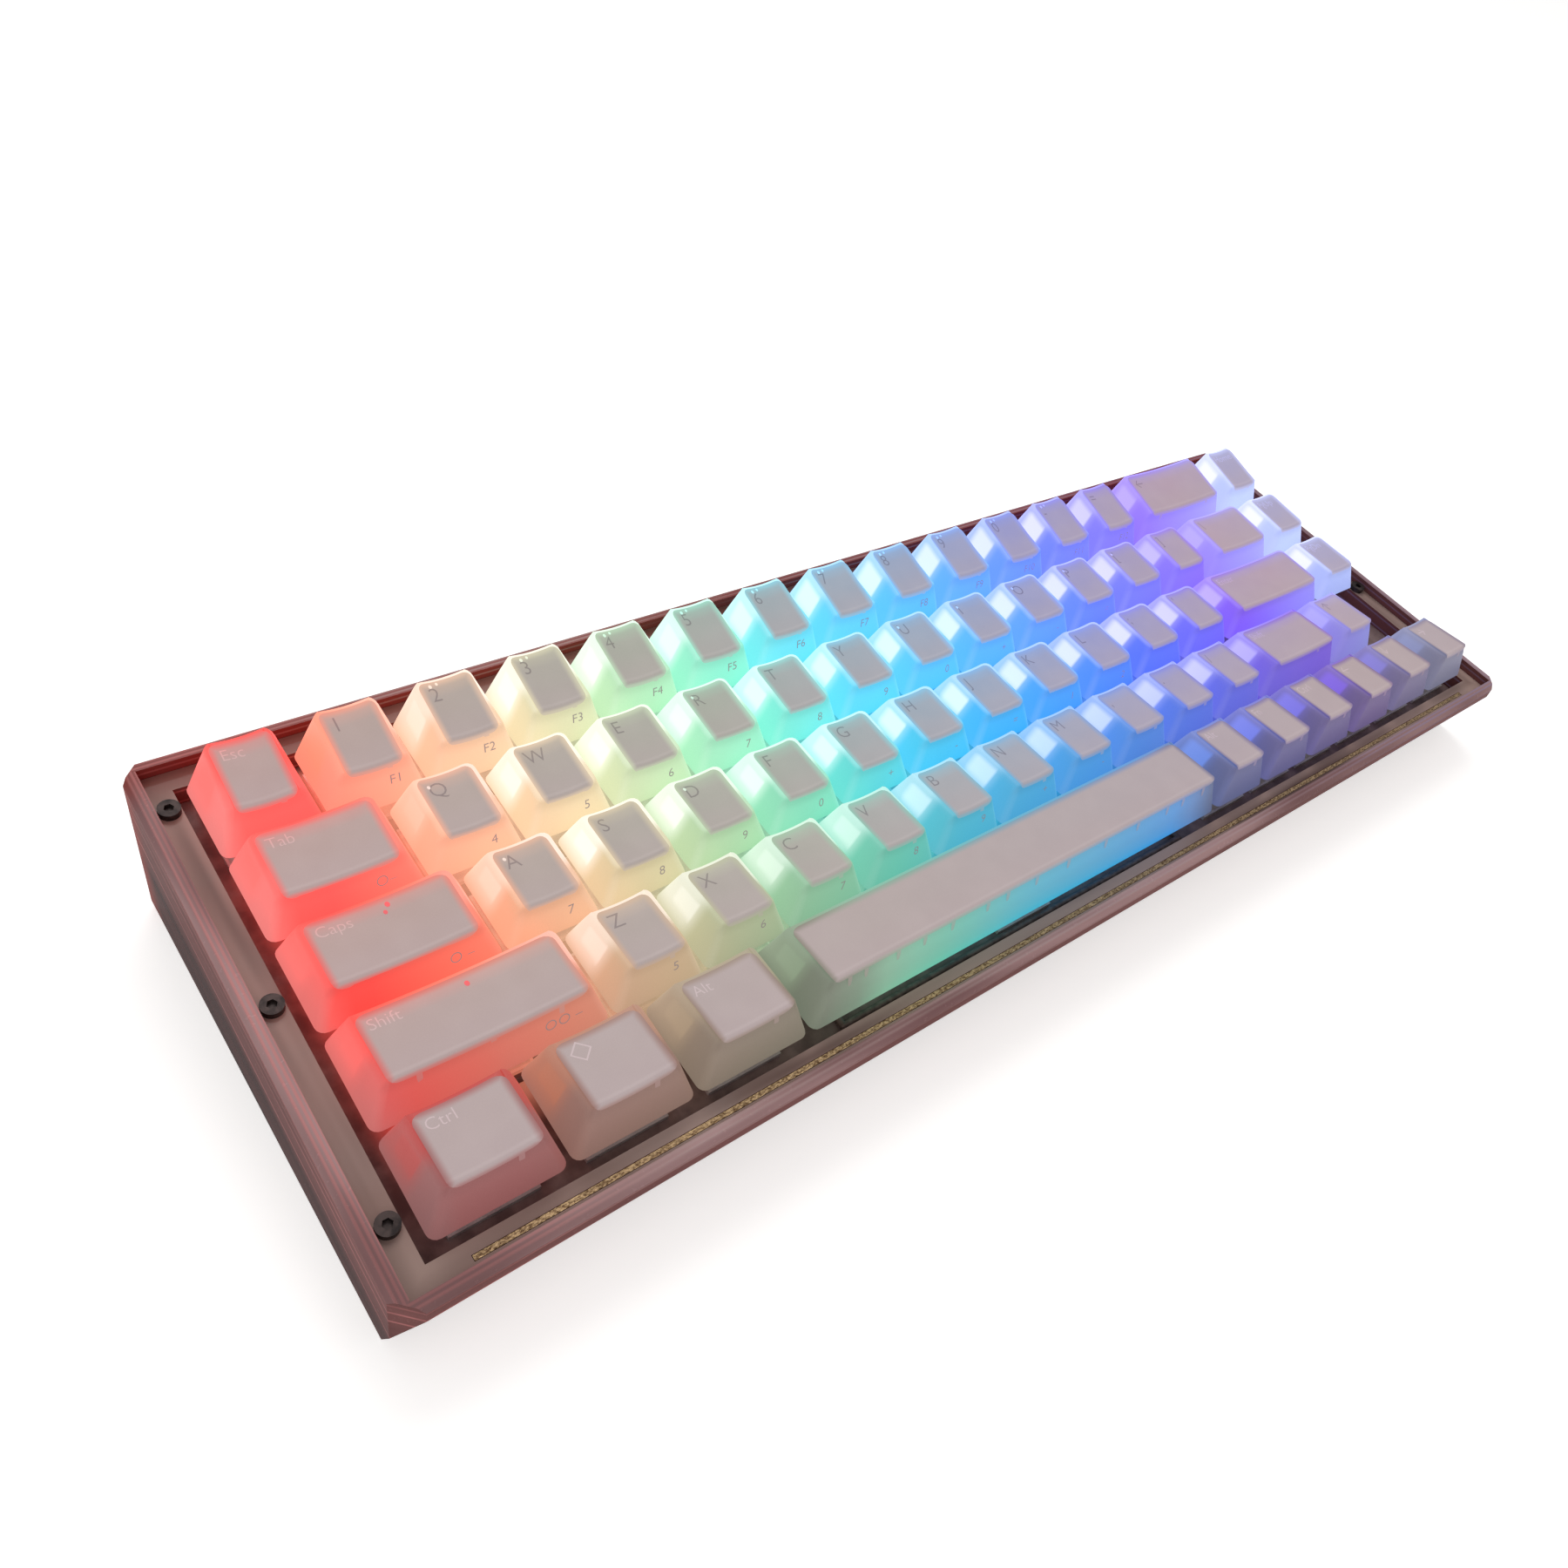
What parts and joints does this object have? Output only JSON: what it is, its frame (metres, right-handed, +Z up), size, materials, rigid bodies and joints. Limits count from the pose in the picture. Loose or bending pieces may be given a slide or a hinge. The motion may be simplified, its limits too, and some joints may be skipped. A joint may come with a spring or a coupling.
{
  "type": "mechanical keyboard",
  "caption": "Compact mechanical keyboard with a clear smoky wedge case, frosted backlit keycaps on sprung switches, arrow keys and a USB socket at the back.",
  "frame": {"origin": "under the middle of the case, on the surface that the feet stand on", "axes": "+X to the right along the keys, +Y to the back, +Z up"},
  "size_m": [0.3212, 0.1102, 0.0427],
  "materials": {
    "smoked_acrylic": "clear smoky mauve acrylic, polished",
    "frosted_keycap": "milky translucent plastic with a fine frosted surface, lit from below",
    "plate": "smoky grey sheet, satin",
    "board": "dark solder mask",
    "switch_housing": "clear-topped switch plastic",
    "spring_steel": "plain spring wire",
    "led": "white LED package, lit",
    "socket_metal": "pressed steel shell",
    "foot_rubber": "matte black rubber",
    "screw_steel": "dark plated steel",
    "amber": "dull amber gold"
  },
  "bodies": {
    "root": {"bottom_case": "smoked_acrylic", "top_frame": "smoked_acrylic", "switch_plate": "plate", "circuit_board": "board", "switch_housings": "switch_housing", "switch_springs": "spring_steel", "stabiliser_housings": "switch_housing", "stabiliser_wires": "spring_steel", "backlight_leds": "led", "usb_socket": "socket_metal", "rubber_feet": "foot_rubber", "case_screws": "screw_steel", "amber_strip": "amber"},
    "key_left_control": {"key_left_control": "frosted_keycap"},
    "keys_left_modifiers": {"keys_left_modifiers": "frosted_keycap"},
    "key_space": {"key_space": "frosted_keycap"},
    "keys_right_modifiers": {"keys_right_modifiers": "frosted_keycap"},
    "key_left_arrow": {"key_left_arrow": "frosted_keycap"},
    "key_down_arrow": {"key_down_arrow": "frosted_keycap"},
    "key_right_arrow": {"key_right_arrow": "frosted_keycap"},
    "key_left_shift": {"key_left_shift": "frosted_keycap"},
    "key_z": {"key_z": "frosted_keycap"},
    "key_x": {"key_x": "frosted_keycap"},
    "key_c": {"key_c": "frosted_keycap"},
    "key_v": {"key_v": "frosted_keycap"},
    "key_b": {"key_b": "frosted_keycap"},
    "key_n": {"key_n": "frosted_keycap"},
    "key_m": {"key_m": "frosted_keycap"},
    "keys_comma_to_slash": {"keys_comma_to_slash": "frosted_keycap"},
    "key_right_shift": {"key_right_shift": "frosted_keycap"},
    "key_up_arrow": {"key_up_arrow": "frosted_keycap"},
    "key_caps_lock": {"key_caps_lock": "frosted_keycap"},
    "key_a": {"key_a": "frosted_keycap"},
    "key_s": {"key_s": "frosted_keycap"},
    "key_d": {"key_d": "frosted_keycap"},
    "key_f": {"key_f": "frosted_keycap"},
    "key_g": {"key_g": "frosted_keycap"},
    "key_h": {"key_h": "frosted_keycap"},
    "key_j": {"key_j": "frosted_keycap"},
    "key_k": {"key_k": "frosted_keycap"},
    "key_l": {"key_l": "frosted_keycap"},
    "keys_semicolon_and_quote": {"keys_semicolon_and_quote": "frosted_keycap"},
    "key_enter": {"key_enter": "frosted_keycap"},
    "key_tab": {"key_tab": "frosted_keycap"},
    "key_q": {"key_q": "frosted_keycap"},
    "key_w": {"key_w": "frosted_keycap"},
    "key_e": {"key_e": "frosted_keycap"},
    "key_r": {"key_r": "frosted_keycap"},
    "key_t": {"key_t": "frosted_keycap"},
    "key_y": {"key_y": "frosted_keycap"},
    "key_u": {"key_u": "frosted_keycap"},
    "key_i": {"key_i": "frosted_keycap"},
    "key_o": {"key_o": "frosted_keycap"},
    "key_p": {"key_p": "frosted_keycap"},
    "keys_brackets": {"keys_brackets": "frosted_keycap"},
    "key_backslash": {"key_backslash": "frosted_keycap"},
    "key_escape": {"key_escape": "frosted_keycap"},
    "keys_number_row": {"keys_number_row": "frosted_keycap"},
    "key_backspace": {"key_backspace": "frosted_keycap"},
    "keys_navigation": {"keys_navigation": "frosted_keycap"}
  },
  "joints": [
    {"name": "key_left_control_travel", "type": "slide", "parent": "root", "child": "key_left_control", "axis": [0, 0.1132, -0.9936], "range_m": [0, 0.004], "stiffness_N_per_m": 80, "springref_m": -0.003, "deforming": ["switch_springs"]},
    {"name": "keys_left_modifiers_travel", "type": "slide", "parent": "root", "child": "keys_left_modifiers", "axis": [0, 0.1132, -0.9936], "range_m": [0, 0.004], "stiffness_N_per_m": 160, "springref_m": -0.003, "deforming": ["switch_springs"]},
    {"name": "key_space_travel", "type": "slide", "parent": "root", "child": "key_space", "axis": [0, 0.1132, -0.9936], "range_m": [0, 0.004], "stiffness_N_per_m": 128, "springref_m": -0.003, "deforming": ["switch_springs"]},
    {"name": "keys_right_modifiers_travel", "type": "slide", "parent": "root", "child": "keys_right_modifiers", "axis": [0, 0.1132, -0.9936], "range_m": [0, 0.004], "stiffness_N_per_m": 240, "springref_m": -0.003, "deforming": ["switch_springs"]},
    {"name": "key_left_arrow_travel", "type": "slide", "parent": "root", "child": "key_left_arrow", "axis": [0, 0.1132, -0.9936], "range_m": [0, 0.004], "stiffness_N_per_m": 80, "springref_m": -0.003, "deforming": ["switch_springs"]},
    {"name": "key_down_arrow_travel", "type": "slide", "parent": "root", "child": "key_down_arrow", "axis": [0, 0.1132, -0.9936], "range_m": [0, 0.004], "stiffness_N_per_m": 80, "springref_m": -0.003, "deforming": ["switch_springs"]},
    {"name": "key_right_arrow_travel", "type": "slide", "parent": "root", "child": "key_right_arrow", "axis": [0, 0.1132, -0.9936], "range_m": [0, 0.004], "stiffness_N_per_m": 80, "springref_m": -0.003, "deforming": ["switch_springs"]},
    {"name": "key_left_shift_travel", "type": "slide", "parent": "root", "child": "key_left_shift", "axis": [0, 0.1132, -0.9936], "range_m": [0, 0.004], "stiffness_N_per_m": 80, "springref_m": -0.003, "deforming": ["switch_springs"]},
    {"name": "key_z_travel", "type": "slide", "parent": "root", "child": "key_z", "axis": [0, 0.1132, -0.9936], "range_m": [0, 0.004], "stiffness_N_per_m": 80, "springref_m": -0.003, "deforming": ["switch_springs"]},
    {"name": "key_x_travel", "type": "slide", "parent": "root", "child": "key_x", "axis": [0, 0.1132, -0.9936], "range_m": [0, 0.004], "stiffness_N_per_m": 80, "springref_m": -0.003, "deforming": ["switch_springs"]},
    {"name": "key_c_travel", "type": "slide", "parent": "root", "child": "key_c", "axis": [0, 0.1132, -0.9936], "range_m": [0, 0.004], "stiffness_N_per_m": 80, "springref_m": -0.003, "deforming": ["switch_springs"]},
    {"name": "key_v_travel", "type": "slide", "parent": "root", "child": "key_v", "axis": [0, 0.1132, -0.9936], "range_m": [0, 0.004], "stiffness_N_per_m": 80, "springref_m": -0.003, "deforming": ["switch_springs"]},
    {"name": "key_b_travel", "type": "slide", "parent": "root", "child": "key_b", "axis": [0, 0.1132, -0.9936], "range_m": [0, 0.004], "stiffness_N_per_m": 80, "springref_m": -0.003, "deforming": ["switch_springs"]},
    {"name": "key_n_travel", "type": "slide", "parent": "root", "child": "key_n", "axis": [0, 0.1132, -0.9936], "range_m": [0, 0.004], "stiffness_N_per_m": 80, "springref_m": -0.003, "deforming": ["switch_springs"]},
    {"name": "key_m_travel", "type": "slide", "parent": "root", "child": "key_m", "axis": [0, 0.1132, -0.9936], "range_m": [0, 0.004], "stiffness_N_per_m": 80, "springref_m": -0.003, "deforming": ["switch_springs"]},
    {"name": "keys_comma_to_slash_travel", "type": "slide", "parent": "root", "child": "keys_comma_to_slash", "axis": [0, 0.1132, -0.9936], "range_m": [0, 0.004], "stiffness_N_per_m": 240, "springref_m": -0.003, "deforming": ["switch_springs"]},
    {"name": "key_right_shift_travel", "type": "slide", "parent": "root", "child": "key_right_shift", "axis": [0, 0.1132, -0.9936], "range_m": [0, 0.004], "stiffness_N_per_m": 80, "springref_m": -0.003, "deforming": ["switch_springs"]},
    {"name": "key_up_arrow_travel", "type": "slide", "parent": "root", "child": "key_up_arrow", "axis": [0, 0.1132, -0.9936], "range_m": [0, 0.004], "stiffness_N_per_m": 80, "springref_m": -0.003, "deforming": ["switch_springs"]},
    {"name": "key_caps_lock_travel", "type": "slide", "parent": "root", "child": "key_caps_lock", "axis": [0, 0.1132, -0.9936], "range_m": [0, 0.004], "stiffness_N_per_m": 80, "springref_m": -0.003, "deforming": ["switch_springs"]},
    {"name": "key_a_travel", "type": "slide", "parent": "root", "child": "key_a", "axis": [0, 0.1132, -0.9936], "range_m": [0, 0.004], "stiffness_N_per_m": 80, "springref_m": -0.003, "deforming": ["switch_springs"]},
    {"name": "key_s_travel", "type": "slide", "parent": "root", "child": "key_s", "axis": [0, 0.1132, -0.9936], "range_m": [0, 0.004], "stiffness_N_per_m": 80, "springref_m": -0.003, "deforming": ["switch_springs"]},
    {"name": "key_d_travel", "type": "slide", "parent": "root", "child": "key_d", "axis": [0, 0.1132, -0.9936], "range_m": [0, 0.004], "stiffness_N_per_m": 80, "springref_m": -0.003, "deforming": ["switch_springs"]},
    {"name": "key_f_travel", "type": "slide", "parent": "root", "child": "key_f", "axis": [0, 0.1132, -0.9936], "range_m": [0, 0.004], "stiffness_N_per_m": 80, "springref_m": -0.003, "deforming": ["switch_springs"]},
    {"name": "key_g_travel", "type": "slide", "parent": "root", "child": "key_g", "axis": [0, 0.1132, -0.9936], "range_m": [0, 0.004], "stiffness_N_per_m": 80, "springref_m": -0.003, "deforming": ["switch_springs"]},
    {"name": "key_h_travel", "type": "slide", "parent": "root", "child": "key_h", "axis": [0, 0.1132, -0.9936], "range_m": [0, 0.004], "stiffness_N_per_m": 80, "springref_m": -0.003, "deforming": ["switch_springs"]},
    {"name": "key_j_travel", "type": "slide", "parent": "root", "child": "key_j", "axis": [0, 0.1132, -0.9936], "range_m": [0, 0.004], "stiffness_N_per_m": 80, "springref_m": -0.003, "deforming": ["switch_springs"]},
    {"name": "key_k_travel", "type": "slide", "parent": "root", "child": "key_k", "axis": [0, 0.1132, -0.9936], "range_m": [0, 0.004], "stiffness_N_per_m": 80, "springref_m": -0.003, "deforming": ["switch_springs"]},
    {"name": "key_l_travel", "type": "slide", "parent": "root", "child": "key_l", "axis": [0, 0.1132, -0.9936], "range_m": [0, 0.004], "stiffness_N_per_m": 80, "springref_m": -0.003, "deforming": ["switch_springs"]},
    {"name": "keys_semicolon_and_quote_travel", "type": "slide", "parent": "root", "child": "keys_semicolon_and_quote", "axis": [0, 0.1132, -0.9936], "range_m": [0, 0.004], "stiffness_N_per_m": 160, "springref_m": -0.003, "deforming": ["switch_springs"]},
    {"name": "key_enter_travel", "type": "slide", "parent": "root", "child": "key_enter", "axis": [0, 0.1132, -0.9936], "range_m": [0, 0.004], "stiffness_N_per_m": 80, "springref_m": -0.003, "deforming": ["switch_springs"]},
    {"name": "key_tab_travel", "type": "slide", "parent": "root", "child": "key_tab", "axis": [0, 0.1132, -0.9936], "range_m": [0, 0.004], "stiffness_N_per_m": 80, "springref_m": -0.003, "deforming": ["switch_springs"]},
    {"name": "key_q_travel", "type": "slide", "parent": "root", "child": "key_q", "axis": [0, 0.1132, -0.9936], "range_m": [0, 0.004], "stiffness_N_per_m": 80, "springref_m": -0.003, "deforming": ["switch_springs"]},
    {"name": "key_w_travel", "type": "slide", "parent": "root", "child": "key_w", "axis": [0, 0.1132, -0.9936], "range_m": [0, 0.004], "stiffness_N_per_m": 80, "springref_m": -0.003, "deforming": ["switch_springs"]},
    {"name": "key_e_travel", "type": "slide", "parent": "root", "child": "key_e", "axis": [0, 0.1132, -0.9936], "range_m": [0, 0.004], "stiffness_N_per_m": 80, "springref_m": -0.003, "deforming": ["switch_springs"]},
    {"name": "key_r_travel", "type": "slide", "parent": "root", "child": "key_r", "axis": [0, 0.1132, -0.9936], "range_m": [0, 0.004], "stiffness_N_per_m": 80, "springref_m": -0.003, "deforming": ["switch_springs"]},
    {"name": "key_t_travel", "type": "slide", "parent": "root", "child": "key_t", "axis": [0, 0.1132, -0.9936], "range_m": [0, 0.004], "stiffness_N_per_m": 80, "springref_m": -0.003, "deforming": ["switch_springs"]},
    {"name": "key_y_travel", "type": "slide", "parent": "root", "child": "key_y", "axis": [0, 0.1132, -0.9936], "range_m": [0, 0.004], "stiffness_N_per_m": 80, "springref_m": -0.003, "deforming": ["switch_springs"]},
    {"name": "key_u_travel", "type": "slide", "parent": "root", "child": "key_u", "axis": [0, 0.1132, -0.9936], "range_m": [0, 0.004], "stiffness_N_per_m": 80, "springref_m": -0.003, "deforming": ["switch_springs"]},
    {"name": "key_i_travel", "type": "slide", "parent": "root", "child": "key_i", "axis": [0, 0.1132, -0.9936], "range_m": [0, 0.004], "stiffness_N_per_m": 80, "springref_m": -0.003, "deforming": ["switch_springs"]},
    {"name": "key_o_travel", "type": "slide", "parent": "root", "child": "key_o", "axis": [0, 0.1132, -0.9936], "range_m": [0, 0.004], "stiffness_N_per_m": 80, "springref_m": -0.003, "deforming": ["switch_springs"]},
    {"name": "key_p_travel", "type": "slide", "parent": "root", "child": "key_p", "axis": [0, 0.1132, -0.9936], "range_m": [0, 0.004], "stiffness_N_per_m": 80, "springref_m": -0.003, "deforming": ["switch_springs"]},
    {"name": "keys_brackets_travel", "type": "slide", "parent": "root", "child": "keys_brackets", "axis": [0, 0.1132, -0.9936], "range_m": [0, 0.004], "stiffness_N_per_m": 160, "springref_m": -0.003, "deforming": ["switch_springs"]},
    {"name": "key_backslash_travel", "type": "slide", "parent": "root", "child": "key_backslash", "axis": [0, 0.1132, -0.9936], "range_m": [0, 0.004], "stiffness_N_per_m": 80, "springref_m": -0.003, "deforming": ["switch_springs"]},
    {"name": "key_escape_travel", "type": "slide", "parent": "root", "child": "key_escape", "axis": [0, 0.1132, -0.9936], "range_m": [0, 0.004], "stiffness_N_per_m": 80, "springref_m": -0.003, "deforming": ["switch_springs"]},
    {"name": "keys_number_row_travel", "type": "slide", "parent": "root", "child": "keys_number_row", "axis": [0, 0.1132, -0.9936], "range_m": [0, 0.004], "stiffness_N_per_m": 960, "springref_m": -0.003, "deforming": ["switch_springs"]},
    {"name": "key_backspace_travel", "type": "slide", "parent": "root", "child": "key_backspace", "axis": [0, 0.1132, -0.9936], "range_m": [0, 0.004], "stiffness_N_per_m": 80, "springref_m": -0.003, "deforming": ["switch_springs"]},
    {"name": "keys_navigation_travel", "type": "slide", "parent": "root", "child": "keys_navigation", "axis": [0, 0.1132, -0.9936], "range_m": [0, 0.004], "stiffness_N_per_m": 240, "springref_m": -0.003, "deforming": ["switch_springs"]}
  ]
}
